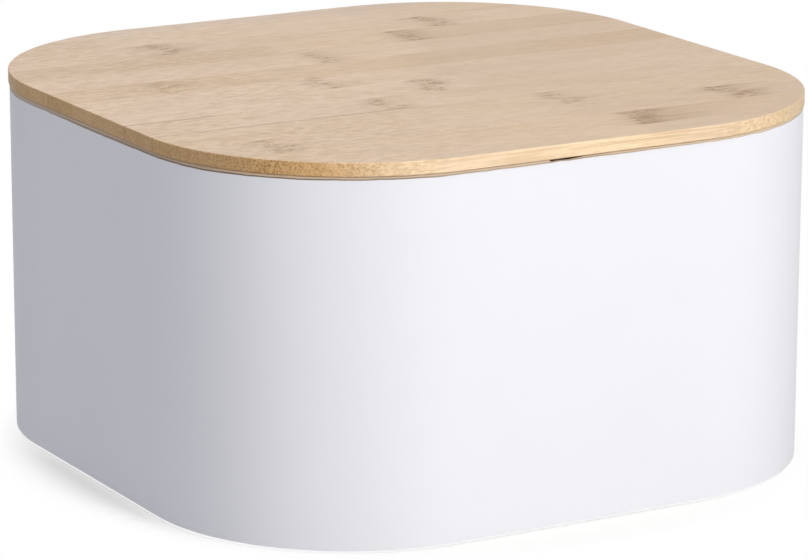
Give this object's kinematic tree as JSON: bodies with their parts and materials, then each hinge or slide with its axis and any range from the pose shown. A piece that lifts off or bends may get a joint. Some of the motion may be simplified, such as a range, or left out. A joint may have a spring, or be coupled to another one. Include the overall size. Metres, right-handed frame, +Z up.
{
  "type": "bread box",
  "caption": "Rounded-square steel box with straight walls and a flat lift-off bamboo lid, for keeping bread.",
  "frame": {"origin": "on the table under the middle of the box, at the lower faces of its pads", "axes": "+Z up, front faces -Y, the lid's strips run along X"},
  "size_m": [0.3352, 0.3352, 0.18],
  "materials": {
    "white_coat": "smooth satin-gloss white powder coat",
    "bamboo": "sanded pale bamboo strips, thinly oiled",
    "batten_bamboo": "sanded bamboo",
    "zinc": "bright zinc plating",
    "pad_rubber": "matt pale grey non-slip rubber"
  },
  "bodies": {
    "box": {"side_wall": "white_coat", "base_pan": "white_coat", "foot_front_left": "pad_rubber", "foot_front_right": "pad_rubber", "foot_back_left": "pad_rubber", "foot_back_right": "pad_rubber"},
    "lid": {"lid_strip_01": "bamboo", "lid_strip_02": "bamboo", "lid_strip_03": "bamboo", "lid_strip_04": "bamboo", "lid_strip_05": "bamboo", "lid_strip_06": "bamboo", "lid_strip_07": "bamboo", "lid_strip_08": "bamboo", "lid_strip_09": "bamboo", "lid_strip_10": "bamboo", "lid_strip_11": "bamboo", "lid_strip_12": "bamboo", "lid_strip_13": "bamboo", "lid_batten_left": "batten_bamboo", "lid_batten_right": "batten_bamboo", "batten_screw_left_front": "zinc", "batten_screw_left_middle": "zinc", "batten_screw_left_back": "zinc", "batten_screw_right_front": "zinc", "batten_screw_right_middle": "zinc", "batten_screw_right_back": "zinc"}
  },
  "joints": [
    {"name": "lid_lift", "type": "slide", "parent": "box", "child": "lid", "axis": [0, 0, 1], "range_m": [0, 0.25]}
  ]
}
